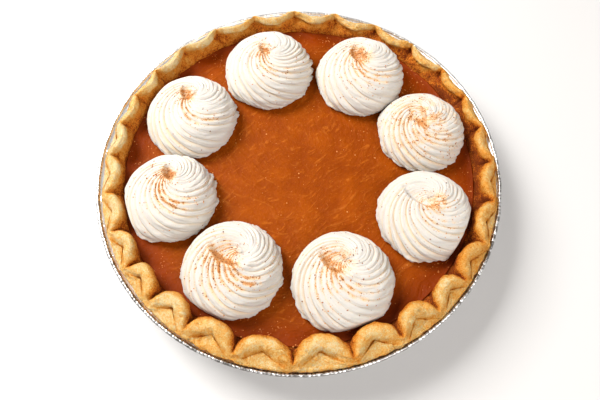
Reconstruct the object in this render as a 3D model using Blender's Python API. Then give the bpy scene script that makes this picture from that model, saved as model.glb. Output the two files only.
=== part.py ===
"""Pumpkin pie in its foil pan: fluted crust, set filling and eight piped rosettes of cream.

Metres, +Z up. The origin is the centre of the pan's underside, on the table.
+Y is the back of the pie and -Y its front. Run with: blender --background --python part.py
"""
import math
import random

import bmesh
import bpy
from mathutils import Vector

GAP = 0.0003                  # air between pieces that touch

# Foil pan, a nine-inch pie pan. Its wall is thicker than real foil.
PAN_RADIUS = 0.122            # over the rolled rim
PAN_HEIGHT = 0.030
PAN_ROLL_RADIUS = 0.0010      # section of the rolled rim
PAN_BASE_RADIUS = 0.088
PAN_MOUTH_RADIUS = 0.1120     # where the sloping side turns out into the flat lip
PAN_CORNER = 0.003            # chamfer between the base and the side
PAN_WALL = 0.0006
LIP_TOP = 0.0287

# Filling
FILL_LEVEL = 0.0258
WELL_RADIUS = 0.1058          # inside of the crust at the filling's level

# Crust, a lining of dough with a fluted edge that stands on the lip
CRUST_THICKNESS = 0.0042
CRUST_FOOT_INSET = 0.0020     # from the outer to the inner corner of its base
WELL_FOOT_RADIUS = 0.1018     # its inner side straightens out below this place
WELL_FOOT_LEVEL = 0.0208
FLANGE_RADIUS = 0.1183
FLANGE_THICKNESS = 0.0028
FLANGE_SHIFT = Vector((0.0006, -0.0011, 0.0))  # the dough edge isn't quite centred in the pan
FLUTES = 28
FLUTE_START = -1.2            # degrees, the first notch from +X towards +Y
FLUTE_WAVES = ((1, 2.1, -63), (2, 3.2, 102), (4, 0.9, -81), (5, 0.8, 8))  # waves round, degrees, phase
FLUTE_STATIONS = (0.0, 0.11, 0.29, 0.50, 0.71, 0.89)  # columns across one flute, the notch first
FLUTE_DEPTH = 0.0037          # how deeply a flute is pinched at the back,
FRONT_DEEPENING = 1.25        # the share that it gains towards the front,
FRONT_ANGLE = 265             # and the direction in degrees where it is deepest
INNER_NOTCH = 0.1135          # radius at a notch: of the ridge's inner edge,
CREST_NOTCH = 0.1141          # of its crest,
CREASE_NOTCH = 0.1178         # and of the crease along its outer foot
INNER_SWING = 1.50            # how far each swings in between two notches, in depths
CREST_SWING = 1.10
CREASE_SWING = 1.00
INNER_ARCH = 0.38             # power of the swing: small is a broad arch,
BACK_ARCH = 0.85              # and at the back the inner edge is a rounder wave
CREST_ARCH = 0.75
BARE_LIP = 0.0038             # how far the dough draws in from the lip between two notches at the back
CREASE_TAPER = 2.35           # the crease is a pointed arch, narrower than the flute
NOTCH_DIP = 0.25              # share of its height that the ridge loses at a notch
BACK_DIP = -0.10              # at the back it gains a little there
BACK_WAVE = 1.6               # and the crest waves in and out as gently as this power makes it
RIDGE_HEIGHT = 0.0078         # over the flange
OUTER_SHOULDER = (0.66, 0.80)  # share of the way out to the crease, share of the rise
INNER_SHOULDER = (0.72, 0.82)  # the same on the way in
INNER_RISE = 0.40
APRON_LIMIT = 0.0009          # the dough outside the crease keeps at least this width,
APRON_RISE = (0.16, 0.20)     # and climbs to it by a share of the rise: at a notch, and more in between

# Rosettes of cream, each piped by hand: direction in degrees and distance from the middle of
# the pie, base radius, height, start of the swirl in degrees, and the eye's shift from the middle
ROSETTES = (
    (105.2, 0.0725, 0.0284, 0.0215, 0, (0.0019, 0.0048)),
    (57.5, 0.0757, 0.0282, 0.0220, 7, (0.0020, 0.0070)),
    (152.6, 0.0754, 0.0280, 0.0210, 3, (0.0034, 0.0073)),
    (16.3, 0.0796, 0.0264, 0.0205, 11, (-0.0003, 0.0022)),
    (195.3, 0.0786, 0.0273, 0.0205, 5, (0.0035, 0.0080)),
    (335.3, 0.0803, 0.0274, 0.0205, 9, (0.0008, 0.0065)),
    (240.0, 0.0747, 0.0279, 0.0210, 14, (0.0058, 0.0065)),
    (288.3, 0.0760, 0.0281, 0.0210, 2, (0.0014, 0.0093)),
)
RIBS = 20                     # ridges that the star nozzle leaves on a rosette
RIB_POINTS = 3                # columns to a rib, the groove first
RIB_DEPTH = 0.0015
SWIRL_TURNS = 0.44            # how far a rib winds between the eye and the base
WARP = 17                     # degrees by which the hand crowds the ribs on one side
WARP_TURN = 205               # degrees, where they are widest apart
DOME = (                      # shares of the radius, the height, the winding and the rib depth
    (0.92, 0.00, 0.00, 1.0),
    (1.00, 0.26, 0.12, 1.0),
    (0.87, 0.64, 0.31, 1.0),
    (0.56, 0.92, 0.61, 0.9),
    (0.20, 1.00, 1.00, 0.5),
)
EYE_DEPTH = 0.0030            # the hollow that the nozzle leaves as it lifts away
CREAM_REACH = 0.1048          # past this distance from the middle the crust squeezes the cream,
FRONT_REACH = 0.0040          # sooner by this at the front, where the flutes are deep
SQUEEZE = 0.20                # what is left of the stretch past it


def material(name, color, roughness, metallic=0.0):
    """A plain Principled BSDF."""
    finish = bpy.data.materials.new(name)
    finish.use_nodes = True
    shader = finish.node_tree.nodes["Principled BSDF"]
    shader.inputs["Base Color"].default_value = (*color, 1.0)
    shader.inputs["Roughness"].default_value = roughness
    shader.inputs["Metallic"].default_value = metallic
    return finish


def polar(radius, degrees, height):
    """A point from its distance from the axis, its direction and its height."""
    angle = math.radians(degrees)
    return Vector((radius * math.cos(angle), radius * math.sin(angle), height))


def flute_angle(flute):
    """Direction of a place along the crust's edge, counted in flutes; hand pinching is uneven."""
    turn = math.tau * flute / FLUTES
    drift = sum(size * math.cos(waves * turn + math.radians(phase)) for waves, size, phase in FLUTE_WAVES)
    return FLUTE_START + math.degrees(turn) + drift


def ring(radius, height):
    """A level ring with two columns to a flute, so pan, crust and filling keep an even gap."""
    return [polar(radius, flute_angle(column / 2), height) for column in range(2 * FLUTES)]


def pole(height):
    """The single point that closes a shape on the axis."""
    return [Vector((0.0, 0.0, height))]


def stitch(mesh, first, second):
    """Triangles between two closed rings of vertices, which may differ in number; one vertex is a pole."""
    few, many = sorted((first, second), key=len)
    share = len(many) / len(few)
    anchors = [few[int((step + 0.5) / share + 0.5) % len(few)] for step in range(len(many))]
    for step, corner in enumerate(many):
        mesh.faces.new((corner, many[(step + 1) % len(many)], anchors[step]))
        if anchors[step - 1] is not anchors[step]:
            mesh.faces.new((corner, anchors[step], anchors[step - 1]))


def skin(name, rings, finish):
    """One closed, smooth body through rings of points, from a pole to a pole."""
    mesh = bmesh.new()
    rows = [[mesh.verts.new(point) for point in points] for points in rings]
    for first, second in zip(rows, rows[1:]):
        stitch(mesh, first, second)
    bmesh.ops.recalc_face_normals(mesh, faces=mesh.faces)
    data = bpy.data.meshes.new(name)
    mesh.to_mesh(data)
    mesh.free()
    data.shade_smooth()
    data.set_sharp_from_angle(angle=math.radians(50))
    data.materials.append(finish)
    body = bpy.data.objects.new(name, data)
    bpy.context.collection.objects.link(body)
    return body


def slope_radius(height):
    """Radius of the pan's inner side at a height; the side leans out from the base to the mouth."""
    share = (height - PAN_WALL) / (LIP_TOP - PAN_WALL)
    return PAN_BASE_RADIUS + share * (PAN_MOUTH_RADIUS - PAN_BASE_RADIUS)


def make_pan():
    """Pressed foil: flat base, sloping side, flat lip and a rolled rim."""
    roll_middle = PAN_RADIUS - PAN_ROLL_RADIUS
    roll_height = PAN_HEIGHT - PAN_ROLL_RADIUS
    corner_slope = slope_radius(PAN_CORNER)
    rings = [
        pole(0.0),
        ring(PAN_BASE_RADIUS - PAN_CORNER, 0.0),
        ring(corner_slope + PAN_WALL, PAN_CORNER),
        ring(PAN_MOUTH_RADIUS + PAN_WALL, LIP_TOP - PAN_WALL),
    ]
    for degrees in (-144, -72, 0, 72, 144):
        section = math.radians(degrees)
        rings.append(ring(roll_middle + PAN_ROLL_RADIUS * math.cos(section),
                          roll_height + PAN_ROLL_RADIUS * math.sin(section)))
    rings += [
        ring(roll_middle - PAN_ROLL_RADIUS, LIP_TOP),
        ring(PAN_MOUTH_RADIUS, LIP_TOP),
        ring(corner_slope, PAN_CORNER),
        ring(PAN_BASE_RADIUS - PAN_CORNER, PAN_WALL),
        pole(PAN_WALL),
    ]
    return skin("pan", rings, material("foil", (0.80, 0.81, 0.82), 0.28, 1.0))


def front_share(degrees):
    """1 at the front of the pie, falling to 0 at its back."""
    return (0.5 + 0.5 * math.cos(math.radians(degrees - FRONT_ANGLE))) ** 2


def back_share(degrees):
    """1 at the back of the pie, falling to 0 at its front."""
    return front_share(degrees + 180)


def flute_stations(chance):
    """Columns along the edge: direction, place across the flute, its depth and its height."""
    for flute in range(FLUTES):
        gain = 1 + FRONT_DEEPENING * front_share(flute_angle(flute + 0.5))
        depth = FLUTE_DEPTH * gain * chance.uniform(0.92, 1.08)
        height = RIDGE_HEIGHT * chance.uniform(0.92, 1.06)
        for station in FLUTE_STATIONS:
            yield flute_angle(flute + station), station, depth, height


def flute_edge(chance):
    """The rings of the fluted edge, from under the flange over the ridge to the filling's level."""
    bottom = LIP_TOP + GAP
    top = bottom + FLANGE_THICKNESS
    columns = []
    for degrees, station, depth, height in flute_stations(chance):
        arch = math.sin(math.pi * station)
        point = max(0.0, 1 - CREASE_TAPER * abs(station - 0.5))
        back = back_share(degrees)
        dip = NOTCH_DIP + (BACK_DIP - NOTCH_DIP) * back
        rise = height * (1 - dip * (1 - arch ** (1 + back)))
        edge = FLANGE_RADIUS - BARE_LIP * back * arch
        inner = INNER_NOTCH - INNER_SWING * depth * arch ** (INNER_ARCH + (BACK_ARCH - INNER_ARCH) * back)
        crest = CREST_NOTCH - CREST_SWING * depth * arch ** (CREST_ARCH + (BACK_WAVE - CREST_ARCH) * back)
        crease = min(CREASE_NOTCH - CREASE_SWING * depth * point, edge - APRON_LIMIT)
        section = [
            (edge, bottom),
            (edge - GAP, top),
            (crease, top + (APRON_RISE[0] + APRON_RISE[1] * point) * rise),
            (crest + OUTER_SHOULDER[0] * (crease - crest), top + OUTER_SHOULDER[1] * rise),
            (crest, top + rise),
            (crest - INNER_SHOULDER[0] * (crest - inner), top + INNER_SHOULDER[1] * rise),
            (inner, top + INNER_RISE * rise),
        ]
        points = [polar(radius, degrees, level) + FLANGE_SHIFT for radius, level in section]
        columns.append(points + [polar(WELL_RADIUS - GAP * arch, degrees, FILL_LEVEL)])
    return [list(points) for points in zip(*columns)]


def make_crust(chance):
    """Dough that lines the pan, lies on its lip and stands up in pinched flutes."""
    under = PAN_WALL + GAP
    over = under + CRUST_THICKNESS
    outer_corner = slope_radius(PAN_CORNER + GAP) - 2 * GAP
    inner_corner = outer_corner - CRUST_FOOT_INSET
    rings = [
        pole(under),
        ring(PAN_BASE_RADIUS - PAN_CORNER - GAP, under),
        ring(outer_corner, PAN_CORNER + GAP),
        ring(PAN_MOUTH_RADIUS - GAP, LIP_TOP + GAP),
        *flute_edge(chance),
        ring(WELL_FOOT_RADIUS, WELL_FOOT_LEVEL),
        ring(inner_corner, over + PAN_CORNER),
        ring(inner_corner - PAN_CORNER, over),
        pole(over),
    ]
    return skin("crust", rings, material("crust", (0.72, 0.43, 0.16), 0.7))


def make_filling():
    """Set pumpkin custard, a solid disc that follows the inside of the crust up to its level."""
    floor = PAN_WALL + CRUST_THICKNESS + 2 * GAP
    corner = slope_radius(PAN_CORNER + GAP) - CRUST_FOOT_INSET - 4 * GAP
    rings = [
        pole(floor),
        ring(corner - PAN_CORNER, floor),
        ring(corner, floor + PAN_CORNER),
        ring(WELL_FOOT_RADIUS - 2 * GAP, WELL_FOOT_LEVEL),
        ring(WELL_RADIUS - 3 * GAP, FILL_LEVEL),
        pole(FILL_LEVEL),
    ]
    return skin("filling", rings, material("filling", (0.50, 0.13, 0.015), 0.3))


def squeeze(point):
    """Cream that reaches the crust is pressed back from it."""
    distance = math.hypot(point.x, point.y)
    reach = CREAM_REACH - FRONT_REACH * front_share(math.degrees(math.atan2(point.y, point.x)))
    if distance > reach:
        share = (reach + SQUEEZE * (distance - reach)) / distance
        point.x *= share
        point.y *= share
    return point


def make_rosette(name, place, chance, finish):
    """One dollop: ribs leave the eye, wind down over the dome and end at the base."""
    direction, distance, radius, height, start, eye_shift = place
    middle = polar(distance, direction, FILL_LEVEL + GAP)
    eye = middle + Vector((*eye_shift, 0.0))
    depths = [RIB_DEPTH * chance.uniform(0.7, 1.3) for _ in range(RIBS)]
    rings = [[middle]]
    for across, up, winding, relief in DOME:
        centre = eye.lerp(middle, across)
        points = []
        for column in range(RIBS * RIB_POINTS):
            swirl = start + 360 * column / (RIBS * RIB_POINTS) - 360 * SWIRL_TURNS * winding
            angle = swirl + WARP * math.sin(math.radians(swirl - WARP_TURN))
            rib, place_in_rib = divmod(column, RIB_POINTS)
            groove = 0.0 if place_in_rib else relief * depths[rib]
            reach = radius * across - groove * (0.3 + 0.7 * across)
            level = height * up - groove * (1 - across ** 2)
            points.append(squeeze(centre + polar(reach, angle, max(0.0, level))))
        rings.append(points)
    rings.append([eye + Vector((0.0, 0.0, height - EYE_DEPTH))])
    return skin(name, rings, finish)


def main():
    for old in list(bpy.data.objects):
        bpy.data.objects.remove(old)
    chance = random.Random(9)
    make_pan()
    make_crust(chance)
    make_filling()
    cream = material("cream", (0.93, 0.89, 0.83), 0.5)
    for number, place in enumerate(ROSETTES, start=1):
        make_rosette(f"rosette_{number}", place, chance, cream)


main()
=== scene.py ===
# %% [markdown]
# # Pumpkin pie in a foil pan
# A round foil pan holds a lining of dough with a fluted edge, a glossy set filling and eight rosettes
# of whipped cream dusted with cinnamon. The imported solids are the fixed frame: they give every place
# and size. Each cell below makes one piece or one finish, and says how it is made on the real pie.

# %% Load the frame
import math
import random

import bmesh
import bpy
import numpy as np
from mathutils import Matrix, Vector


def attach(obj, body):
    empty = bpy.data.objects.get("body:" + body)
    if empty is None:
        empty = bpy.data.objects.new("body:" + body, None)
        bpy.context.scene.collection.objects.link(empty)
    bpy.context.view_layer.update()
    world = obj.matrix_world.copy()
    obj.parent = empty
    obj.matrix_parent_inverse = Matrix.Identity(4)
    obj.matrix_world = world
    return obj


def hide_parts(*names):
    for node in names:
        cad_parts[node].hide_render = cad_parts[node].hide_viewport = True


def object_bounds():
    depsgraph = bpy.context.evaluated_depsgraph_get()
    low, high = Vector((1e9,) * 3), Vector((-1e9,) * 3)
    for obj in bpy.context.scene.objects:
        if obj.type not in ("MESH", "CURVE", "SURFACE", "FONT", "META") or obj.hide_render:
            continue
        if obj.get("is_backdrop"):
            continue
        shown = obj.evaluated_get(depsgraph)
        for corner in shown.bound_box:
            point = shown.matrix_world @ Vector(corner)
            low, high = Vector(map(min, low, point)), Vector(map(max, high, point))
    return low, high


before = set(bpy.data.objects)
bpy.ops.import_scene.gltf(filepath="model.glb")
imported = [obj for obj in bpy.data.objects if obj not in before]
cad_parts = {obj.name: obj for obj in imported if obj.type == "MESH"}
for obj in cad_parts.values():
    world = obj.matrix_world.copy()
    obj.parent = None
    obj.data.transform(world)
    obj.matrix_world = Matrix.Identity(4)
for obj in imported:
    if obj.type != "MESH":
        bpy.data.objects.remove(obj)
SOLID_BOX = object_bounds()
print("the solids fill", [round(1000 * (high - low), 1) for low, high in zip(*SOLID_BOX)], "mm")

# %% [markdown]
# ## Sizes shared with the solids
# The pan, the dough and the cream follow the same named sizes as the solids, in metres, so that the
# fine pieces land where the plain ones are. Only what is finer than the solids is added later.

# %% Driving sizes
PAN_RADIUS = 0.122
PAN_HEIGHT = 0.030
PAN_ROLL_RADIUS = 0.0010
PAN_BASE_RADIUS = 0.088
PAN_MOUTH_RADIUS = 0.1120
PAN_CORNER = 0.003
PAN_WALL = 0.0006
LIP_TOP = 0.0287
GAP = 0.0003
FILL_LEVEL = 0.0258
WELL_RADIUS = 0.1058
WELL_FOOT = (0.1018, 0.0208)
FLANGE_RADIUS = 0.1183
FLANGE_THICKNESS = 0.0028
FLANGE_SHIFT = np.array((0.0006, -0.0011, 0.0))
FLUTES = 28
FLUTE_START = -1.2
# uneven pinching: waves all round, and each one's size and phase in degrees
FLUTE_WAVES = ((1, 2.1, -63), (2, 3.2, 102), (4, 0.9, -81), (5, 0.8, 8))
FLUTE_DEPTH = 0.0037
FRONT_DEEPENING = 1.25        # the flutes are deeper by this share at the front
FRONT_ANGLE = 265
INNER_NOTCH = 0.1135          # radius at a notch of the rope's inner side, crest and crease
CREST_NOTCH = 0.1141
CREASE_NOTCH = 0.1178
INNER_SWING = 1.50            # how far each swings inwards in a flute, in flute depths
CREST_SWING = 1.10
CREASE_SWING = 1.00
INNER_ARCH = 0.38             # powers of the arches: a small one is full, a large one pointed
BACK_ARCH = 0.85
CREST_ARCH = 0.75
BACK_WAVE = 1.6
CREASE_TAPER = 2.35
BARE_LIP = 0.0038             # the edge draws back by this much at the back of the pie
NOTCH_DIP = 0.25              # share of its height that the rope loses at a notch
BACK_DIP = -0.10              # and at the back, where it gains a little instead
RIDGE_HEIGHT = 0.0078
APRON_LIMIT = 0.0009          # least width of the apron outside the crease
CREAM_REACH = 0.1048          # the crust starts to squeeze the cream at this radius
FRONT_REACH = 0.0040          # and this much nearer to the middle at the front
SQUEEZE = 0.20                # share that is left of what lies past it
RIBS = 20
RIB_DEPTH = 0.0018
SWIRL_TURNS = 0.44
WARP = math.radians(17)       # the ribs crowd together towards one side
WARP_TURN = math.radians(205)
print("the pan is", round(2000 * PAN_RADIUS), "mm over its roll, and the edge has", FLUTES, "flutes")

# %% [markdown]
# ## Nodes as Python sums
# Finishes and Geometry Nodes trees are both made of small nodes. A wire is one socket that knows its
# tree, so an ordinary sum such as 1 - mask adds the Math nodes. Colours go through Mix, directions
# through Vector Math, and any other node through one method.

# %% Wires and boards
class Wire:
    """One output socket that takes part in Python sums."""

    def __init__(self, board, socket):
        self.board = board
        self.socket = socket

    def __add__(self, other):
        return self.board.math("ADD", self, other)

    def __radd__(self, other):
        return self.board.math("ADD", other, self)

    def __sub__(self, other):
        return self.board.math("SUBTRACT", self, other)

    def __rsub__(self, other):
        return self.board.math("SUBTRACT", other, self)

    def __mul__(self, other):
        return self.board.math("MULTIPLY", self, other)

    def __rmul__(self, other):
        return self.board.math("MULTIPLY", other, self)

    def __truediv__(self, other):
        return self.board.math("DIVIDE", self, other)

    def __rtruediv__(self, other):
        return self.board.math("DIVIDE", other, self)

    def __pow__(self, other):
        return self.board.math("POWER", self, other)

    def __neg__(self):
        return self.board.math("MULTIPLY", self, -1.0)

    def __abs__(self):
        return self.board.math("ABSOLUTE", self)


class Board:
    """Adds nodes to one tree, for a finish or for Geometry Nodes."""

    def __init__(self, tree):
        self.tree = tree

    def add(self, kind, inputs=(), out=0, stops=(), bend=(), **settings):
        """A node of one kind: its settings first, then the values or wires of its sockets."""
        node = self.tree.nodes.new(kind)
        for name, value in settings.items():
            setattr(node, name, value)
        if stops:
            ramp = node.color_ramp
            while len(ramp.elements) < len(stops):
                ramp.elements.new(1.0)
            for element, (place, color) in zip(ramp.elements, stops):
                element.position = place
                element.color = (*color, 1.0)
        if bend:
            curve = node.mapping.curves[0]
            curve.points[0].location, curve.points[1].location = bend[0], bend[-1]
            for place in bend[1:-1]:
                curve.points.new(*place)
            node.mapping.update()
        for key, value in dict(inputs).items():
            if isinstance(value, Wire):
                self.tree.links.new(value.socket, node.inputs[key])
            else:
                node.inputs[key].default_value = value
        return Wire(self, node.outputs[out])

    def math(self, operation, *values):
        return self.add("ShaderNodeMath", enumerate(values), operation=operation)

    def vector(self, operation, *values, out=0):
        return self.add("ShaderNodeVectorMath", enumerate(values), out=out, operation=operation)

    def scaled(self, vector, factor):
        return self.add("ShaderNodeVectorMath", {0: vector, "Scale": factor}, operation="SCALE")

    def mix(self, factor, first, second):
        """A colour that goes from first to second; each is a wire or its red, green and blue."""
        first, second = (color if isinstance(color, Wire) else (*color, 1.0) for color in (first, second))
        return self.add("ShaderNodeMix", {0: factor, 6: first, 7: second}, out=2, data_type="RGBA")

    def blend(self, factor, first, second):
        """A number that goes from first to second."""
        return self.add("ShaderNodeMix", {0: factor, 2: first, 3: second}, data_type="FLOAT")

    def parts(self, vector):
        node = self.add("ShaderNodeSeparateXYZ", {0: vector}).socket.node
        return [Wire(self, node.outputs[axis]) for axis in range(3)]

    def joined(self, x, y, z):
        return self.add("ShaderNodeCombineXYZ", {0: x, 1: y, 2: z})

    def span(self, x, y):
        """How far x and y lie from the upright axis."""
        return self.vector("LENGTH", self.joined(x, y, 0.0), out="Value")

    def circle(self, angle, height):
        """The point at this angle on the circle of radius 1."""
        return self.joined(self.math("COSINE", angle), self.math("SINE", angle), height)

    def marked(self, geometry, name, value, domain="POINT"):
        """The geometry with a number stored on it under a name."""
        sockets = {"Geometry": geometry, "Name": name, "Value": value}
        return self.add("GeometryNodeStoreNamedAttribute", sockets, data_type="FLOAT", domain=domain)

    def noise(self, vector, scale, detail=2.0, roughness=0.5):
        sockets = {"Vector": vector, "Scale": scale, "Detail": detail, "Roughness": roughness}
        return self.add("ShaderNodeTexNoise", sockets)

    def fade(self, value, start, end):
        """0 before start, 1 after end and smooth in between."""
        sockets = {0: value, 1: start, 2: end, 3: 0.0, 4: 1.0}
        return self.add("ShaderNodeMapRange", sockets, interpolation_type="SMOOTHSTEP")

    def bell(self, distance, width):
        """1 at distance 0, falling away smoothly over a width."""
        ratio = distance / width
        return self.math("EXPONENT", -(ratio * ratio))


print("wires take sums such as 1 - mask")

# %% [markdown]
# ## Helpers for pieces
# A Geometry Nodes tree runs on a throwaway object. Its evaluated result is copied to a plain mesh
# and the throwaway is removed, so the finished piece sits at the origin with no live modifier.

# %% Trees, lofts and serving
SOCKETS = {float: "NodeSocketFloat", int: "NodeSocketInt", Vector: "NodeSocketVector",
           bpy.types.Material: "NodeSocketMaterial"}


def new_tree(name, inputs):
    """A Geometry Nodes tree with a mesh in and out, a finish and named inputs of these kinds."""
    tree = bpy.data.node_groups.new(name, "GeometryNodeTree")
    tree.interface.new_socket("Mesh", in_out="INPUT", socket_type="NodeSocketGeometry")
    for label, kind in {**inputs, "Finish": bpy.types.Material}.items():
        tree.interface.new_socket(label, in_out="INPUT", socket_type=SOCKETS[kind])
    tree.interface.new_socket("Mesh", in_out="OUTPUT", socket_type="NodeSocketGeometry")
    board = Board(tree)
    source = tree.nodes.new("NodeGroupInput")
    return board, {socket.name: Wire(board, socket) for socket in source.outputs if socket.name}


def close_tree(board, geometry, given):
    """Every tree ends alike: instances made real, shaded smooth and given their finish."""
    real = board.add("GeometryNodeRealizeInstances", {0: geometry})
    smooth = board.add("GeometryNodeSetShadeSmooth", {"Geometry": real})
    done = board.add("GeometryNodeSetMaterial", {"Geometry": smooth, "Material": given["Finish"]})
    exit_node = board.tree.nodes.new("NodeGroupOutput")
    board.tree.links.new(done.socket, exit_node.inputs[0])
    return board.tree


def grow(name, tree, values, start=None):
    """Runs a tree on a start mesh, and keeps the result as a plain piece."""
    raw = bpy.data.objects.new(name + "_raw", start or bpy.data.meshes.new(name + "_raw"))
    bpy.context.collection.objects.link(raw)
    modifier = raw.modifiers.new(name, "NODES")
    modifier.node_group = tree
    for item in tree.interface.items_tree:
        if item.in_out == "INPUT" and item.name in values:
            modifier[item.identifier] = values[item.name]
    depsgraph = bpy.context.evaluated_depsgraph_get()
    mesh = bpy.data.meshes.new_from_object(raw.evaluated_get(depsgraph))
    bpy.data.objects.remove(raw)
    mesh.name = name
    piece = bpy.data.objects.new(name, mesh)
    bpy.context.collection.objects.link(piece)
    return piece


def loft(name, rows, low_pole, high_pole, marks=None):
    """A closed mesh from rows of points round the axis: rows x columns x 3, a pole at each end."""
    count, around = rows.shape[:2]
    points = np.concatenate([rows.reshape(-1, 3), [low_pole, high_pole]])
    corner = np.arange(count * around).reshape(count, around)
    beside = np.roll(corner, -1, axis=1)
    walls = np.stack([corner[:-1], beside[:-1], beside[1:], corner[1:]], axis=-1).reshape(-1, 4)
    low, high = count * around, count * around + 1
    caps = [(low, b, a) for a, b in zip(corner[0], beside[0])]
    caps += [(high, a, b) for a, b in zip(corner[-1], beside[-1])]
    mesh = bpy.data.meshes.new(name)
    mesh.from_pydata(points.tolist(), [], walls.tolist() + [tuple(map(int, cap)) for cap in caps])
    for label, values in (marks or {}).items():
        attribute = mesh.attributes.new(label, "FLOAT", "POINT")
        attribute.data.foreach_set("value", np.append(values.ravel(), (values[0, 0], values[-1, 0])))
    tidy = bmesh.new()
    tidy.from_mesh(mesh)
    bmesh.ops.recalc_face_normals(tidy, faces=tidy.faces)
    tidy.to_mesh(mesh)
    tidy.free()
    return mesh


def serve(piece, slot, *nodes):
    """A finished piece rides on the one body, and stands for the solids that it replaces."""
    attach(piece, "root")
    if nodes:
        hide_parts(*nodes)
    corners = sum(len(face.vertices) - 2 for face in piece.data.polygons)
    print(piece.name, "has", corners, "triangles")


def polar(radius, degrees, height):
    """Points from their distance from the axis, their direction and their height."""
    angle = np.radians(degrees)
    parts = np.broadcast_arrays(radius * np.cos(angle), radius * np.sin(angle), height)
    return np.stack(parts, axis=-1)


print("a tree takes", len(SOCKETS), "kinds of input")


# %% [markdown]
# ## Camera, floor and light
# The pie is seen from the front and from high up, with the far crust only a little smaller. The
# floor is plain and pale. The key light stands at the left and a little behind, so the shadow falls
# to the right and towards the front. A larger and weaker fill light at the front right and a pale
# surround keep the shaded side of the crust golden.

# %% Camera
CAMERA_TARGET = Vector((0.00066, -0.02256, PAN_HEIGHT))
CAMERA_DISTANCE = 0.30681
CAMERA_ELEVATION = math.radians(66.475)
CAMERA_ROLL = math.radians(0.558)
CAMERA_LENS = 31.2


def make_camera():
    back = Vector((0.0, -math.cos(CAMERA_ELEVATION), math.sin(CAMERA_ELEVATION)))
    across = Vector((1.0, 0.0, 0.0))
    upward = across.cross(-back)
    turned = Matrix.Rotation(-CAMERA_ROLL, 3, back)
    frame_axes = Matrix((turned @ across, turned @ upward, back)).transposed()
    data = bpy.data.cameras.new("camera")
    data.lens = CAMERA_LENS
    data.sensor_width = 36.0
    data.clip_start = 0.01
    camera = bpy.data.objects.new("camera", data)
    camera.matrix_world = Matrix.Translation(CAMERA_TARGET + CAMERA_DISTANCE * back) @ frame_axes.to_4x4()
    bpy.context.collection.objects.link(camera)
    bpy.context.scene.camera = camera
    print("the camera stands at", [round(value, 3) for value in camera.matrix_world.translation])


make_camera()

# %% Floor and light
FLOOR_SIZE = 8.0
FLOOR_COLOR = (0.595, 0.588, 0.583, 1.0)
SURROUND = 0.335              # brightness of the pale surround
SURROUND_COLOR = (1.0, 0.955, 0.92, 1.0)
LIGHTS = (                    # name, place, width, power and colour
    ("key_light", Vector((-0.62, 0.42, 0.80)), 0.55, 20.5, (1.0, 0.985, 0.96)),
    ("fill_light", Vector((0.55, -0.68, 0.85)), 1.0, 11.6, (1.0, 0.970, 0.945)),
)


def make_floor():
    mesh = bpy.data.meshes.new("floor")
    half = FLOOR_SIZE / 2
    corners = [(-half, -half, 0), (half, -half, 0), (half, half, 0), (-half, half, 0)]
    mesh.from_pydata(corners, [], [(0, 1, 2, 3)])
    floor = bpy.data.objects.new("floor", mesh)
    paint = bpy.data.materials.new("floor_paint")
    paint.use_nodes = True
    shader = paint.node_tree.nodes["Principled BSDF"]
    shader.inputs["Base Color"].default_value = FLOOR_COLOR
    shader.inputs["Roughness"].default_value = 0.8
    shader.inputs["Specular IOR Level"].default_value = 0.1
    mesh.materials.append(paint)
    bpy.context.collection.objects.link(floor)
    floor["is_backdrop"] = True


def make_light(name, place, size, power, color):
    """A square soft light that faces the pie."""
    data = bpy.data.lights.new(name, "AREA")
    data.size = size
    data.energy = power
    data.color = color
    light = bpy.data.objects.new(name, data)
    light.location = place
    light.rotation_euler = (-place).to_track_quat("-Z", "Y").to_euler()
    bpy.context.collection.objects.link(light)
    print(name, "stands", round(place.length, 2), "m away")


def make_surround():
    surround = bpy.data.worlds.new("surround")
    surround.use_nodes = True
    background = surround.node_tree.nodes["Background"]
    background.inputs["Color"].default_value = SURROUND_COLOR
    background.inputs["Strength"].default_value = SURROUND
    bpy.context.scene.world = surround
    bpy.context.scene.view_settings.view_transform = "Standard"


make_floor()
for light_values in LIGHTS:
    make_light(*light_values)
make_surround()

# %% [markdown]
# ## Finishes
# Each finish starts from one helper that makes the board and the shader. What varies over the
# surface feeds colour, roughness, coat or a bump; what is the same all over is set on the shader.

# %% Finish helper
def new_finish(name, **constants):
    """A Principled finish with its own board; constants go straight on the shader's sockets."""
    finish = bpy.data.materials.new(name)
    finish.use_nodes = True
    shader = finish.node_tree.nodes["Principled BSDF"]
    for label, value in constants.items():
        shader.inputs[label.replace("_", " ")].default_value = value
    return finish, Board(finish.node_tree), shader


def feed(board, shader, bumps=(), **wires):
    """Links wires to the shader; bumps are (height wire, depth in metres) from coarse to fine."""
    normal = None
    for height, depth in bumps:
        sockets = {"Height": height, "Distance": depth, "Strength": 1.0}
        if normal:
            sockets["Normal"] = normal
        normal = board.add("ShaderNodeBump", sockets)
    if normal:
        wires["Normal"] = normal
    for label, wire in wires.items():
        board.tree.links.new(wire.socket, shader.inputs[label.replace("_", " ")])


def place_of(board):
    """Where the surface is, in metres."""
    return board.add("ShaderNodeTexCoord", out="Object")


def mark(board, name):
    """A number that the mesh carries under this name."""
    return board.add("ShaderNodeAttribute", out="Fac", attribute_name=name)


def show(finish):
    """Says how large a finish is, and hands it on."""
    print(finish.name, "has", len(finish.node_tree.nodes), "nodes")
    return finish


print("a finish starts with", len(bpy.data.materials["floor_paint"].node_tree.nodes), "nodes")


# %% [markdown]
# ### Foil
# The pan is pressed from bright aluminium foil. Its roll is crimped and rubbed, so the finish is a
# metal whose roughness changes from place to place. Its colour carries painted reflections: a mark
# made with the pan paints bright and dark glints on the crimps, an evenly bright roll at the back and
# a dark band along the roll's outer edge, and rubbed wear is mixed in from noise.

# %% Foil finish
# the darker tone paints dark reflections on the roll, and rubbed wear
DARK_REFLECTION_AND_RUBBED_FOIL = (0.30, 0.285, 0.27)
BRIGHT_FOIL = (0.93, 0.93, 0.93)


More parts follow.
